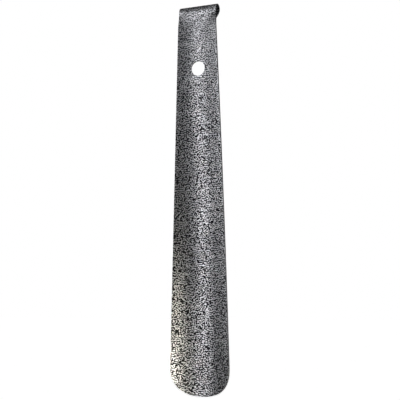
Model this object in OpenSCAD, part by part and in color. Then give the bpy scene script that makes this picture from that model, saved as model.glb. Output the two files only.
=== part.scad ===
// Long shoehorn, metal, with a rolled hanging hook
//
// One strip of sheet steel. The blank is stamped to a long taper with a round shoe end and one
// hole, pressed to a trough that is deep at the shoe end and almost flat at the top, and the top
// is rolled over backwards into a hook. Nothing is joined on, so the whole object is one node.
//
// Frame: millimetres. +Z runs up the strip to the hook, -Y is the hollow side of the trough,
// X runs across. The origin is the middle of the hanging hole, half way through the sheet.

/* [Overall] */

// Height from the shoe end to the crest of the hook
overall_l = 305; // [250:1:460]
// Thickness of the sheet with its coating
sheet_t = 1.2; // [0.8:0.1:2]

/* [Taper] */

// Width of the strip where its sides run out to the shoe end
shoe_w = 49.2; // [38:0.1:60]
// Width of the strip at the bend of the hook
top_w = 31.2; // [22:0.1:38]
// How far each side stands out from a straight taper at half height
side_bulge = 0.35; // [0:0.05:1.5]
// Length of the rounded shoe end
end_l = 23.3; // [12:0.1:32]
// Fullness of the two rounded ends: 2 is an ellipse, more is squarer
end_fullness = 2.3; // [2:0.1:3]

/* [Trough] */

// Slope of the sheet at its side edges, at the shoe end, in degrees
edge_slope_shoe = 30; // [10:1:45]
// Slope of the sheet at its side edges, at half height
edge_slope_middle = 17; // [6:0.5:25]
// Slope of the sheet at its side edges, just below the hook
edge_slope_top = 13; // [3:0.5:15]
// Height over which the trough is pressed flat again below the bend
flatten_l = 14; // [6:1:30]

/* [Hanging hole] */

// Diameter of the hanging hole
hole_d = 11.5; // [6:0.1:14]
// Distance from the crest of the hook down to the middle of the hole
hole_below_crest = 51.5; // [35:0.1:90]

/* [Hook] */

// Outside radius of the rolled bend
hook_outer_r = 5.2; // [3.5:0.1:8]
// How far the bend is rolled, in degrees: 180 leaves the lip parallel to the strip
hook_turn = 180; // [150:1:185]
// Length of the straight lip after the bend
lip_l = 8.5; // [6:0.1:20]
// Length of the rounded end of the lip, measured along the strip
lip_end_l = 14; // [6:0.5:18]

/* [Hidden] */

steel = [0.50, 0.50, 0.49];

// The strip is followed by its length along the middle of the sheet, starting at the shoe end:
// blade, then bend, then lip.
bend_r = hook_outer_r - sheet_t / 2;
blade_l = overall_l - hook_outer_r;
bend_l = bend_r * hook_turn * PI / 180;
bend_end = blade_l + bend_l;
shoe_end_z = hole_below_crest - overall_l;

// Rows of the mesh: the shoe end, the plain blade, the flattened part and the hook
end_rows = 9;
blade_rows = 20;
flat_rows = 7;
hook_rows = 24;
columns = 24;
end_region_l = end_l * 1.5;
flatten_start = blade_l - flatten_l;

// Columns crowd towards the two sides, where the outline of a rounded end turns fastest.
function column_turn(c) = -90 + 180 * c / columns;
function across(c) = sign(column_turn(c)) * pow(abs(sin(column_turn(c))), 2 / end_fullness);

// Outline: where each column of the mesh starts at the shoe end and stops at the lip
function rounded_away(c) = 1 - pow(abs(cos(column_turn(c))), 2 / end_fullness);
function outline_start(c) = end_l * rounded_away(c);
function outline_stop(c) = bend_end + lip_l - lip_end_l * rounded_away(c);

// Taper: half the width of the strip at a length along it
function up(along) = min(1, along / blade_l);
function half_width(along) =
    shoe_w / 2 + (top_w - shoe_w) / 2 * up(along) + 4 * side_bulge * up(along) * (1 - up(along));

// Trough: one slope for the shoe end, one for half height, one for the top, joined by a smooth
// curve, and eased away to flat just below the bend
function trough_slope(f) =
    edge_slope_shoe * (1 - f) * (1 - 2 * f)
    + edge_slope_middle * 4 * f * (1 - f)
    + edge_slope_top * f * (2 * f - 1);
function ease(f) = f * f * (3 - 2 * f);
function flattened(along) = ease(max(0, min(1, (along - flatten_start) / flatten_l)));
function edge_slope(along) = max(0.02, trough_slope(up(along)) * (1 - flattened(along)));
function trough_r(along) = half_width(along) / sin(edge_slope(along));

// Middle line of the sheet, seen from the side, and the way its front face looks there
function turned(along) = hook_turn * max(0, min(1, (along - blade_l) / bend_l));
function lip_run(along) = max(0, along - bend_end);
function line_y(along) = bend_r * (1 - cos(turned(along))) + lip_run(along) * sin(turned(along));
function line_z(along) =
    shoe_end_z + min(along, blade_l) + bend_r * sin(turned(along))
    + lip_run(along) * cos(turned(along));

// A point on one face of the sheet: face is 1 for the hollow side and -1 for the back
function sheet_point(along, c, face) =
    let (
        x = half_width(along) * across(c),
        r = trough_r(along),
        lean = asin(x / r),
        out = r * (1 - cos(lean)) + face * sheet_t / 2 * cos(lean)
    )
    [
        x - face * sheet_t / 2 * sin(lean),
        line_y(along) - out * cos(turned(along)),
        line_z(along) + out * sin(turned(along))
    ];

// Length along the strip at a row of the mesh, in each part of the strip
function between(a, b, row, rows) = a + (b - a) * row / rows;
function end_along(row, c) = between(outline_start(c), end_region_l, row, end_rows);
function blade_along(row) = between(end_region_l, flatten_start, row, blade_rows);
function flat_along(row) = between(flatten_start, blade_l, row, flat_rows);
function hook_along(row, c) = between(blade_l, outline_stop(c), row, hook_rows);

// All the rows of one column, from the shoe end to the end of the lip
function column_alongs(c) = [
    for (row = [0 : end_rows - 1]) end_along(row, c),
    for (row = [0 : blade_rows - 1]) blade_along(row),
    for (row = [0 : flat_rows - 1]) flat_along(row),
    for (row = [0 : hook_rows]) hook_along(row, c)
];
rows = end_rows + blade_rows + flat_rows + hook_rows;

// Points are numbered column by column, the hollow face first and the back face after it.
function face_points(face) = [
    for (c = [0 : columns])
        for (along = column_alongs(c)) sheet_point(along, c, face)
];
function front(c, row) = c * (rows + 1) + row;
function back(c, row) = front(c, row) + (columns + 1) * (rows + 1);

// Every four-sided patch is two triangles, so that each one is flat.
function patch(a, b, c, d) = [[a, b, c], [a, c, d]];
function flatten_list(list) = [for (part = list) for (item = part) item];

function front_face() = flatten_list([
    for (c = [0 : columns - 1]) for (row = [0 : rows - 1])
        patch(front(c, row), front(c, row + 1), front(c + 1, row + 1), front(c + 1, row))
]);
function back_face() = flatten_list([
    for (c = [0 : columns - 1]) for (row = [0 : rows - 1])
        patch(back(c, row), back(c + 1, row), back(c + 1, row + 1), back(c, row + 1))
]);
function side_edge(c, way) = flatten_list([
    for (row = [0 : rows - 1])
        way > 0
            ? patch(front(c, row), front(c, row + 1), back(c, row + 1), back(c, row))
            : patch(front(c, row), back(c, row), back(c, row + 1), front(c, row + 1))
]);
function end_edge(row, way) = flatten_list([
    for (c = [0 : columns - 1])
        way > 0
            ? patch(front(c, row), back(c, row), back(c + 1, row), front(c + 1, row))
            : patch(front(c, row), front(c + 1, row), back(c + 1, row), back(c, row))
]);

// The pressed and rolled strip before its hole is punched
module strip() {
    polyhedron(
        points = concat(face_points(1), face_points(-1)),
        faces = concat(
            front_face(),
            back_face(),
            side_edge(0, -1),
            side_edge(columns, 1),
            end_edge(0, -1),
            end_edge(rows, 1)
        ),
        convexity = 6
    );
}

// The round hole the shoehorn hangs by, straight through the sheet from front to back
module hanging_hole() {
    rotate([90, 0, 0])
        cylinder(h = hook_outer_r + sheet_t, d = hole_d, center = true, $fn = 96);
}

module shoehorn() {
    color(steel)
        difference() {
            strip();
            hanging_hole();
        }
}

shoehorn();
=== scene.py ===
# %% [markdown]
# # A long metal shoehorn
#
# This lesson builds the looks of a pressed steel shoehorn around its fixed engineering model.
# The real object is one coated strip, taken to be sheet steel. A strip like it is usually made by
# stamping out a long tapered blank with two round ends and a round hole, pressing the blank to a
# trough, rolling the narrow end over backwards into a hook, and coating it with a silver and
# black vein finish. The mesh below goes through those steps, in that order.
#
# The frame is in metres. +Z runs up the strip, -Y is the hollow side, X runs across, and the
# origin is the middle of the hanging hole.

import math

import bmesh
import bpy
from mathutils import Matrix, Vector


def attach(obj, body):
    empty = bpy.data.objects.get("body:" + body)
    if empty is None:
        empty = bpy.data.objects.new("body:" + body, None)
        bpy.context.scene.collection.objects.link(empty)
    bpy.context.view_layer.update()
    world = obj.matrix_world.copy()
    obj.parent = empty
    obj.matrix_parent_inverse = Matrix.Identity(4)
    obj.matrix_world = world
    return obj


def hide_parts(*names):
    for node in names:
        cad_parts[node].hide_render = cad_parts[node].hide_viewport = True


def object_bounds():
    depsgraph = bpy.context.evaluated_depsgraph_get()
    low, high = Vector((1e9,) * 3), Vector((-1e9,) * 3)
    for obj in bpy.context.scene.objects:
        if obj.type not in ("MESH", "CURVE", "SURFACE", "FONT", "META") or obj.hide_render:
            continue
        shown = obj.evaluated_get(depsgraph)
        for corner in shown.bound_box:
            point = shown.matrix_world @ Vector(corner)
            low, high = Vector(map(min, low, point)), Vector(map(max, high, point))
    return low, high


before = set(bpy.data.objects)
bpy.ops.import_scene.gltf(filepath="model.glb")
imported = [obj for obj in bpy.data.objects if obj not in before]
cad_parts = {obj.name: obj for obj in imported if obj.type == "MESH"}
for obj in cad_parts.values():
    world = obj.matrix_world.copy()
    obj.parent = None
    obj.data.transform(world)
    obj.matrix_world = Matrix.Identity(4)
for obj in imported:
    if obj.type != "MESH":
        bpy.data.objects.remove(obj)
cad_low, cad_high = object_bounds()
print("engineering model runs from", tuple(cad_low), "to", tuple(cad_high))

# %% [markdown]
# ## Sizes
#
# Every size is a named value, so that the press steps below read like the drawing of the part.
# The strip is followed by its length along the middle of the sheet: zero at the shoe end, then
# up the blade, round the bend and down the lip. The height and the bend come from the frame's
# own box, so the looks can't drift away from the engineering model.

# %% Sizes of the strip
MM = 0.001
sheet_t = 1.2 * MM
shoe_w = 49.2 * MM
top_w = 31.2 * MM
side_bulge = 0.35 * MM
end_l = 23.3 * MM
end_fullness = 2.3
slope_shoe, slope_middle, slope_top = 30.0, 17.0, 13.0
flatten_l = 14 * MM
hole_r = 5.75 * MM
hook_outer_r = 5.2 * MM
lip_l = 8.5 * MM
lip_end_l = 14 * MM

overall_l = cad_high.z - cad_low.z
bend_r = hook_outer_r - sheet_t / 2
blade_l = overall_l - hook_outer_r
bend_l = bend_r * math.pi
strip_l = blade_l + bend_l + lip_l
hole_along = -cad_low.z
print(f"flat strip {strip_l / MM:.1f} mm long, hole {hole_along / MM:.1f} mm from the shoe end")

# %% [markdown]
# ## The flat blank
#
# The blank starts as a flat grid of small squares, one across and one along, both running from
# -1 to 1. A grid is chosen because the later steps bend it, and only a mesh with many even rows
# bends smoothly. The cells are under a millimetre, which is finer than the bend of the hook
# needs.

# %% Cut a flat grid
columns = 56
cell = 0.8 * MM
rows = round(strip_l / cell)

strip_mesh = bmesh.new()
bmesh.ops.create_grid(strip_mesh, x_segments=columns, y_segments=rows, size=1.0)
print("blank:", columns, "by", rows, "cells,", len(strip_mesh.faces), "faces")

# %% [markdown]
# ## Stamping the outline
#
# The outline has straight sides that taper, and a round end at each end. The round ends aren't
# plain half circles: the shoe end is a little fuller, so the same oval rule is used with a
# fullness above 2. Squeezing every row to a point at the tip would crush its cells, so each
# round end is made by bending the corners of its square patch of grid out onto the oval. The
# rows stay open, and the rim gets an even string of edges.


# %% Stamp the outline
def half_width(along):
    up = min(1.0, along / blade_l)
    straight = shoe_w / 2 + (top_w - shoe_w) / 2 * up
    return straight + 4 * side_bulge * up * (1 - up)


def square_to_oval(across, out):
    """Moves a point of the half square, out from 0 to 1, onto the half oval of the same size."""
    x = across * math.sqrt(1 - out * out / 2)
    y = out * math.sqrt(1 - across * across / 2)
    reach = math.hypot(x, y)
    if reach < 1e-9:
        return x, y
    corner = (abs(x) / reach) ** end_fullness + (abs(y) / reach) ** end_fullness
    fuller = corner ** (-1 / end_fullness)
    # the middle of the patch stays put, so that it joins the straight rows smoothly
    grow = 1 + (fuller - 1) * reach
    return x * grow, y * grow


def stamp(across, along):
    """Where a point of the square grid goes on the flat blank: (across, along) in metres."""
    lip_start = strip_l - lip_end_l
    if along < end_l:
        x, y = square_to_oval(across, (end_l - along) / end_l)
        along = end_l * (1 - y)
        return x * half_width(along), along
    if along > lip_start:
        x, y = square_to_oval(across, (along - lip_start) / lip_end_l)
        return x * top_w / 2, lip_start + lip_end_l * y
    return across * half_width(along), along


for v in strip_mesh.verts:
    v.co.x, v.co.y = stamp(v.co.x, (v.co.y + 1) / 2 * strip_l)
print("blank outline is", round(2 * max(v.co.x for v in strip_mesh.verts) / MM, 2), "mm wide")

# %% [markdown]
# ## Punching the hole
#
# A round hole in a square grid leaves jagged cells if it is just cut out. Instead a square
# window of cells is taken out, its edge is extruded inwards, and the new points are pulled onto
# the circle of the hole. The band between the window and the circle is then cut into rings, so
# the sheet round the hole can follow the curve of the trough.


# %% Punch the hanging hole
def border_edges(bm):
    return [e for e in bm.edges if e.is_boundary]


hole_middle = Vector((0, hole_along, 0))
window = 1.45 * hole_r
outline = set(border_edges(strip_mesh))
inside = [
    f
    for f in strip_mesh.faces
    if max(abs(c) for c in (f.calc_center_median() - hole_middle)) < window
]
bmesh.ops.delete(strip_mesh, geom=inside, context="FACES")
window_edges = [e for e in border_edges(strip_mesh) if e not in outline]

extruded = bmesh.ops.extrude_edge_only(strip_mesh, edges=window_edges)
circle = {g for g in extruded["geom"] if isinstance(g, bmesh.types.BMVert)}
for v in circle:
    v.co = hole_middle + (v.co - hole_middle).normalized() * hole_r
spokes = [e for v in circle for e in v.link_edges if e.other_vert(v) not in circle]
bmesh.ops.subdivide_edges(strip_mesh, edges=spokes, cuts=4, use_grid_fill=True)
print("hole edge has", len(circle), "points and", len(spokes), "spokes")

# %% [markdown]
# ## Pressing the trough and rolling the hook
#
# Both steps move every point of the blank. Across the strip a point goes onto a circle whose
# radius follows the slope of the sheet at its side edges: steep at the shoe end, gentle at the
# top, and flat by the time the bend starts, because a curved sheet can't be rolled over. Along
# the strip a point goes up the blade, round the half circle of the bend and down the lip.


# %% Press and roll
def side_slope(along):
    up = min(1.0, along / blade_l)
    slope = slope_shoe * (1 - up) * (1 - 2 * up)
    slope += slope_middle * 4 * up * (1 - up)
    slope += slope_top * up * (2 * up - 1)
    flat = max(0.0, min(1.0, (along - blade_l + flatten_l) / flatten_l))
    return math.radians(max(0.02, slope * (1 - flat * flat * (3 - 2 * flat))))


def press_and_roll(x, along):
    """The point of the middle of the sheet that a point of the flat blank ends up at."""
    trough_r = half_width(along) / math.sin(side_slope(along))
    rise = trough_r - math.sqrt(trough_r * trough_r - x * x)
    turn = max(0.0, min(math.pi, (along - blade_l) / bend_r))
    lip = max(0.0, along - blade_l - bend_l)
    line_y = bend_r * (1 - math.cos(turn))
    line_z = cad_low.z + min(along, blade_l) + bend_r * math.sin(turn) - lip
    return Vector((x, line_y - rise * math.cos(turn), line_z + rise * math.sin(turn)))


for v in strip_mesh.verts:
    v.co = press_and_roll(v.co.x, v.co.y)
bmesh.ops.recalc_face_normals(strip_mesh, faces=strip_mesh.faces)
depth = -min(v.co.y for v in strip_mesh.verts)
print("trough is", round(depth / MM, 2), "mm deep at the shoe end")

# %% [markdown]
# ## Thickness and rounded edges
#
# Solidify gives the sheet its 1.2 mm, half to each side of the middle, which is how sheet metal
# keeps its length round a bend. Bevel then rounds the rim. A stamped edge is square, but one that
# is held in the hand is usually rounded off before it is coated, so every edge of the strip and
# of the hole gets a small radius. The rim takes its own material, because the cut edge shows as
# a thin plain line.

# %% Make the piece
piece_mesh = bpy.data.meshes.new("pressed_strip")
strip_mesh.to_mesh(piece_mesh)
strip_mesh.free()
piece_mesh.shade_smooth()
strip = bpy.data.objects.new("pressed_strip", piece_mesh)
bpy.context.scene.collection.objects.link(strip)

thickness = strip.modifiers.new("sheet_thickness", "SOLIDIFY")
thickness.thickness = sheet_t
thickness.offset = 0
thickness.use_even_offset = True
thickness.material_offset_rim = 1

rounding = strip.modifiers.new("rounded_edges", "BEVEL")
rounding.width = 0.45 * MM
rounding.segments = 3
rounding.limit_method = "ANGLE"
rounding.angle_limit = math.radians(50)
rounding.harden_normals = True

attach(strip, "root")
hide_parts("shoehorn")
print("piece faces before thickness:", len(piece_mesh.polygons))

# %% [markdown]
# ## The vein coat
#
# The coat shows a silver net with short dark worms and pits between. It is taken to be a vein
# powder coat, where the silver and the black part from each other as the powder melts and the
# silver stands a little proud. One worm and the silver beside it take about 1.4 mm here.
#
# Plain noise gives round blots, not worms. Gabor noise is a sum of small wave packets, so it has
# one clear spacing. With its anisotropy at zero the packets point every way and join into worms.
# The place it is read at is first shaken by a soft noise, which breaks long worms into short
# ones. The result is cut just above the middle of its range, to leave a little more black than
# silver. The same mask drives colour, gloss, metal and bump, so that the dark worms are also
# the low, duller ones.
#
# The coat also carries painted light and shade along the strip. Towards the shoe end the silver
# net is narrowed a little, a painted shade, and towards the hook it is widened and the black is
# lifted to grey, a painted highlight. Both are driven by the height up the strip.
#
# All the noise reads Object coordinates in metres, so the pattern has one true size on the
# front, the back and the hook, and doesn't stretch round the bend.


# %% Helpers for node materials
def add_node(tree, kind, **settings):
    node = tree.nodes.new(kind)
    for name, value in settings.items():
        setattr(node, name, value)
    return node


def noise_node(tree, place, per_metre, detail):
    node = add_node(tree, "ShaderNodeTexNoise")
    node.inputs["Scale"].default_value = per_metre
    node.inputs["Detail"].default_value = detail
    tree.links.new(place, node.inputs["Vector"])
    return node.outputs["Fac"]


def spread(tree, value, low, high, to_low=0.0, to_high=1.0):
    """Stretches a value from the range low..high to the range to_low..to_high, smoothly."""
    node = add_node(tree, "ShaderNodeMapRange", interpolation_type="SMOOTHSTEP")
    node.inputs["From Min"].default_value = low
    node.inputs["From Max"].default_value = high
    node.inputs["To Min"].default_value = to_low
    node.inputs["To Max"].default_value = to_high
    tree.links.new(value, node.inputs["Value"])
    return node.outputs["Result"]


def combine(tree, kind, a, b):
    node = add_node(tree, "ShaderNodeMath", operation=kind)
    for socket, value in zip(node.inputs, (a, b)):
        if isinstance(value, float):
            socket.default_value = value
        else:
            tree.links.new(value, socket)
    return node.outputs["Value"]


def blend_colours(tree, mask, low, high):
    node = add_node(tree, "ShaderNodeMix", data_type="RGBA")
    tree.links.new(mask, node.inputs["Factor"])
    for socket, value in ((node.inputs[6], low), (node.inputs[7], high)):
        if isinstance(value, tuple):
            socket.default_value = (*value, 1)
        else:
            tree.links.new(value, socket)
    return node.outputs[2]


def new_material(name):
    material = bpy.data.materials.new(name)
    material.use_nodes = True
    tree = material.node_tree
    shader = tree.nodes["Principled BSDF"]
    place = add_node(tree, "ShaderNodeTexCoord").outputs["Object"]
    return material, tree, shader, place


print("patterns are read in metres, on Object coordinates")

# %% Mix the vein coat
silver_pale = (0.80, 0.80, 0.795)
silver_deep = (0.62, 0.62, 0.625)
vein_black = (0.004, 0.004, 0.0045)
# The grey that the black worms are lifted to near the hook is painted light.
vein_black_painted_lighter = (0.085, 0.085, 0.087)
# These three heights set the painted fade: painted shade full at the lowest, none at the middle,
# painted light full at the highest.
painted_shade_full_below = -0.22
painted_fade_middle = -0.05
painted_light_full_above = 0.045
vein_spacing = 1.42 * MM
vein_height = 0.06 * MM
shake_reach = 1.1 * vein_spacing
silver_starts, silver_full = 0.49, 0.565
# The painted shade below and the painted light above shift the worm mask by these amounts.
painted_shade_shift, painted_light_shift = -0.012, 0.015
black_roughness, silver_roughness = 0.46, 0.28
black_metal, silver_metal = 0.2, 1.0
drift_per_metre, flake_per_metre = 45, 6000
drift_share, flake_share = 0.7, 0.3


def worm_net(tree, place):
    """Gabor noise of one spacing, read at a shaken place so that its worms stay short."""
    shake = add_node(tree, "ShaderNodeTexNoise")
    shake.inputs["Scale"].default_value = 0.8 / vein_spacing
    shake.inputs["Detail"].default_value = 1
    tree.links.new(place, shake.inputs["Vector"])
    shaken = add_node(tree, "ShaderNodeVectorMath", operation="MULTIPLY_ADD")
    tree.links.new(shake.outputs["Color"], shaken.inputs[0])
    shaken.inputs[1].default_value = (shake_reach,) * 3
    tree.links.new(place, shaken.inputs[2])
    worm = add_node(tree, "ShaderNodeTexGabor", gabor_type="3D")
    worm.inputs["Scale"].default_value = 1 / (2 * vein_spacing)
    worm.inputs["Frequency"].default_value = 2.0
    worm.inputs["Anisotropy"].default_value = 0.0
    tree.links.new(shaken.outputs["Vector"], worm.inputs["Vector"])
    return worm.outputs["Value"]


def vein_coat():
    material, tree, shader, place = new_material("vein_coat")
    net = worm_net(tree, place)
    up_the_strip = add_node(tree, "ShaderNodeSeparateXYZ")
    tree.links.new(place, up_the_strip.inputs["Vector"])
    height = up_the_strip.outputs["Z"]
    # Painted shade towards the shoe end and painted light towards the hook: the mask is shifted
    # by height, so less silver shows low down and more near the hook.
    below = spread(tree, height, painted_shade_full_below, painted_fade_middle, painted_shade_shift, 0.0)
    above = spread(tree, height, painted_fade_middle, painted_light_full_above, 0.0, painted_light_shift)
    net = combine(tree, "ADD", combine(tree, "ADD", net, below), above)
    silver = spread(tree, net, silver_starts, silver_full)
    drift = noise_node(tree, place, drift_per_metre, 3)
    flake = noise_node(tree, place, flake_per_metre, 1)
    tone = combine(tree, "ADD", spread(tree, drift, 0.35, 0.65, 0.0, drift_share),
                   spread(tree, flake, 0.35, 0.65, 0.0, flake_share))
    silver_colour = blend_colours(tree, tone, silver_deep, silver_pale)
    # Painted light: towards the hook the black worms are lifted to grey.
    painted_light_lift = spread(tree, height, painted_fade_middle, painted_light_full_above)
    black_colour = blend_colours(tree, painted_light_lift, vein_black, vein_black_painted_lighter)
    colour = blend_colours(tree, silver, black_colour, silver_colour)
    tree.links.new(colour, shader.inputs["Base Color"])
    gloss = spread(tree, silver, 0.0, 1.0, black_roughness, silver_roughness)
    tree.links.new(gloss, shader.inputs["Roughness"])
    metal = spread(tree, silver, 0.0, 1.0, black_metal, silver_metal)
    tree.links.new(metal, shader.inputs["Metallic"])
    shader.inputs["Specular IOR Level"].default_value = 0.2
    bump = add_node(tree, "ShaderNodeBump")
    bump.inputs["Strength"].default_value = 0.6
    bump.inputs["Distance"].default_value = vein_height
    tree.links.new(silver, bump.inputs["Height"])
    tree.links.new(bump.outputs["Normal"], shader.inputs["Normal"])
    return material


print("one worm and its silver take", round(vein_spacing / MM, 2), "mm")

# %% [markdown]
# ## The rim coat
#
# The cut edge of the strip and of the hole takes an even grey coat without worms. It could be
# the same material with the worms faded out, but the edge is its own band of faces, so a
# second, simpler material is clearer.
# A soft mottle varies its grey, gloss and surface.


# %% Mix the rim coat
rim_dark = (0.20, 0.20, 0.20)
rim_pale = (0.34, 0.34, 0.34)
rim_mottle_per_metre = 900
rim_mottle_height = 0.03 * MM


def rim_coat():
    material, tree, shader, place = new_material("rim_coat")
    mottle = noise_node(tree, place, rim_mottle_per_metre, 2)
    colour = blend_colours(tree, spread(tree, mottle, 0.35, 0.65), rim_dark, rim_pale)
    tree.links.new(colour, shader.inputs["Base Color"])
    tree.links.new(spread(tree, mottle, 0.3, 0.7, 0.5, 0.38), shader.inputs["Roughness"])
    shader.inputs["Metallic"].default_value = 0.8
    bump = add_node(tree, "ShaderNodeBump")
    bump.inputs["Strength"].default_value = 0.3
    bump.inputs["Distance"].default_value = rim_mottle_height
    tree.links.new(mottle, bump.inputs["Height"])
    tree.links.new(bump.outputs["Normal"], shader.inputs["Normal"])
    return material


for coat in (vein_coat(), rim_coat()):
    strip.data.materials.append(coat)
print("materials on the strip:", [m.name for m in strip.data.materials])

# %% [markdown]
# ## The camera
#
# The camera stands to the right of the hollow side and a little below the middle of the strip.
# It is placed from an aim point, a distance and two angles, then rolled by a fraction of a
# degree. Depth of field stays off, so the whole strip is sharp.

# %% Place the camera
camera_azimuth = math.radians(21.69)
camera_elevation = math.radians(-5.41)
camera_roll = math.radians(-0.71)
camera_distance = 649.8 * MM
focal_length = 75.51
aim_right, aim_up = 0.04 * MM, -2.75 * MM


def view_axes(azimuth, elevation):
    """Right, up and back directions of a camera at these angles, azimuth 0 looking along +Y."""
    back = Vector(
        (
            math.sin(azimuth) * math.cos(elevation),
            -math.cos(azimuth) * math.cos(elevation),
            math.sin(elevation),
        )
    )
    right = Vector((math.cos(azimuth), math.sin(azimuth), 0))
    return right, back.cross(right), back


right, up, back = view_axes(camera_azimuth, camera_elevation)
aim = Vector((0, 0, (cad_low.z + cad_high.z) / 2)) + aim_right * right + aim_up * up

camera_data = bpy.data.cameras.new("camera")
camera_data.lens = focal_length
camera_data.sensor_width = 36
camera = bpy.data.objects.new("camera", camera_data)
bpy.context.scene.collection.objects.link(camera)
camera.matrix_world = (
    Matrix.Translation(aim + camera_distance * back)
    @ Matrix((right, up, back)).transposed().to_4x4()
    @ Matrix.Rotation(camera_roll, 4, "Z")
)
bpy.context.scene.camera = camera
print("camera stands at", tuple(round(c, 3) for c in camera.matrix_world.translation))

# %% [markdown]
# ## The studio
#
# The strip hangs by its hole in front of a white background, above a plain pale floor. The
# background is white to the camera only. To the strip it is nearly black, because a room that
# was white all round would fill the trough with light and wipe out its dark side.

# %% Colour handling and background
scene = bpy.context.scene
scene.view_settings.view_transform = "Standard"

world = bpy.data.worlds.new("studio")
world.use_nodes = True
scene.world = world
fill_strength = 0.022
background = world.node_tree.nodes["Background"]
ray = add_node(world.node_tree, "ShaderNodeLightPath").outputs["Is Camera Ray"]
background_level = spread(world.node_tree, ray, 0.0, 1.0, fill_strength, 1.0)
world.node_tree.links.new(background_level, background.inputs["Strength"])
background.inputs["Color"].default_value = (1, 1, 1, 1)
print("grey seen by the strip:", fill_strength)

# %% [markdown]
# ## The floor
#
# The floor is one plain sheet a little below the shoe end, in a pale paint with a faint mottle.
# The lamps are small and dim, so the paint also glows by itself to stay pale from every side. A
# glowing floor would light the strip from below, so the strip's reflections and soft light
# leave it out.

# %% Lay the floor
floor_height = -0.80
floor_glow = 1.0
floor_grey = (0.975, 0.975, 0.975)
floor_white = (0.995, 0.995, 0.995)
floor_mesh = bmesh.new()
bmesh.ops.create_grid(floor_mesh, x_segments=8, y_segments=8, size=12.0)
floor_data = bpy.data.meshes.new("floor")
floor_mesh.to_mesh(floor_data)
floor_mesh.free()
floor = bpy.data.objects.new("floor", floor_data)
scene.collection.objects.link(floor)
floor.location.z = floor_height
floor.visible_glossy = False
floor.visible_diffuse = False


def floor_paint():
    material, tree, shader, place = new_material("floor_paint")
    mottle = noise_node(tree, place, 6, 3)
    colour = blend_colours(tree, spread(tree, mottle, 0.3, 0.7), floor_grey, floor_white)
    tree.links.new(colour, shader.inputs["Base Color"])
    tree.links.new(colour, shader.inputs["Emission Color"])
    shader.inputs["Emission Strength"].default_value = floor_glow
    shader.inputs["Roughness"].default_value = 0.7
    return material


floor_data.materials.append(floor_paint())
print("floor is", floor_height, "m from the hanging hole")

# %% [markdown]
# ## The lights
#
# A metal coat shows its lights as soft bands, so the lights are tall narrow panels that stand
# in a ring round the strip. Each stands at one angle, counted from straight in front of the
# hollow side towards the right. The bright band right of the middle comes from the key panels,
# a little to the left. The right rim is picked out by the panels further round to the left.
# One panel at the left edge and one above the crest pick those out. Small warm lamps stand
# close to the shoe end and light its left wall, and two panels behind keep the back readable.

# %% Light panels
strip_middle = Vector((0, 0, (cad_low.z + cad_high.z) / 2))
panel_distance = 1.0
panel_height = 0.42
cool_white = (0.935, 0.945, 1.0)
warm_white = (1.0, 0.975, 0.87)


def light_panel(name, place, target, width, height, power, colour):
    data = bpy.data.lights.new(name, "AREA")
    data.shape = "RECTANGLE"
    data.size = width
    data.size_y = height
    data.energy = power
    data.color = colour
    lamp = bpy.data.objects.new(name, data)
    scene.collection.objects.link(lamp)
    lamp.location = place
    lamp.rotation_mode = "QUATERNION"
    lamp.rotation_quaternion = (target - place).to_track_quat("-Z", "Y")
    lamp.visible_camera = False
    return lamp


def beside(level, angle, distance):
    """The place level with a point, at an angle from the front of the strip."""
    turn = math.radians(angle)
    return level + distance * Vector((math.sin(turn), -math.cos(turn), 0))


def ring_panel(name, angle, rise, width, power):
    """A tall panel facing the strip, at an angle from the front and a rise above the middle."""
    level = strip_middle + Vector((0, 0, rise))
    place = beside(level, angle, panel_distance)
    return light_panel(name, place, level, width, panel_height, power, cool_white)


print("ring of panels", panel_height, "m tall,", panel_distance, "m from the strip")

# %% Place the lights
narrow = 0.13
wide = 0.30
broad = 0.60
panels = (
    ("key_top_left", -26, 0.40, narrow, 0.225),
    ("key_top_right", -20, 0.40, narrow, 0.48),
    ("key_middle", -26, 0.0, narrow, 0.71),
    ("key_low_left", -32, -0.40, narrow, 0.39),
    ("key_low_right", -14, -0.40, narrow, 0.61),
    ("front_top", 8, 0.40, narrow, 0.17),
    ("rim_top", -64, 0.40, wide, 4.0),
    ("rim_middle", -64, 0.0, wide, 0.16),
    ("edge_side", -112, 0.0, wide, 3.0),
    ("back_left", -145, -0.2, broad, 1.6),
    ("back_right", 140, -0.2, broad, 1.6),
)
for panel in panels:
    ring_panel(*panel)

print("panels in the ring:", len(panels))

# %% Light the crest and the shoe end
crest_panel = strip_middle + Vector((-0.10, -0.60, 0.95))
crest = Vector((0, 0, cad_high.z))
crest_power = 0.7
light_panel("crest_top", crest_panel, crest, wide, wide, crest_power, cool_white)

lamp_distance = 0.42
lamp_size = 0.10
lamp_beam = math.radians(75)
for name, angle, height, power in (
    ("shoe_lamp", 25, -0.30, 0.022),
    ("shoe_end_lamp", 40, -0.40, 0.50),
    ("shoe_lamp_front", 10, -0.30, 0.006),
    ("blade_lamp", 10, -0.20, 0.008),
):
    level = Vector((0, 0, height))
    place = beside(level, angle, lamp_distance)
    lamp = light_panel(name, place, level, lamp_size, lamp_size, power, warm_white)
    lamp.data.spread = lamp_beam
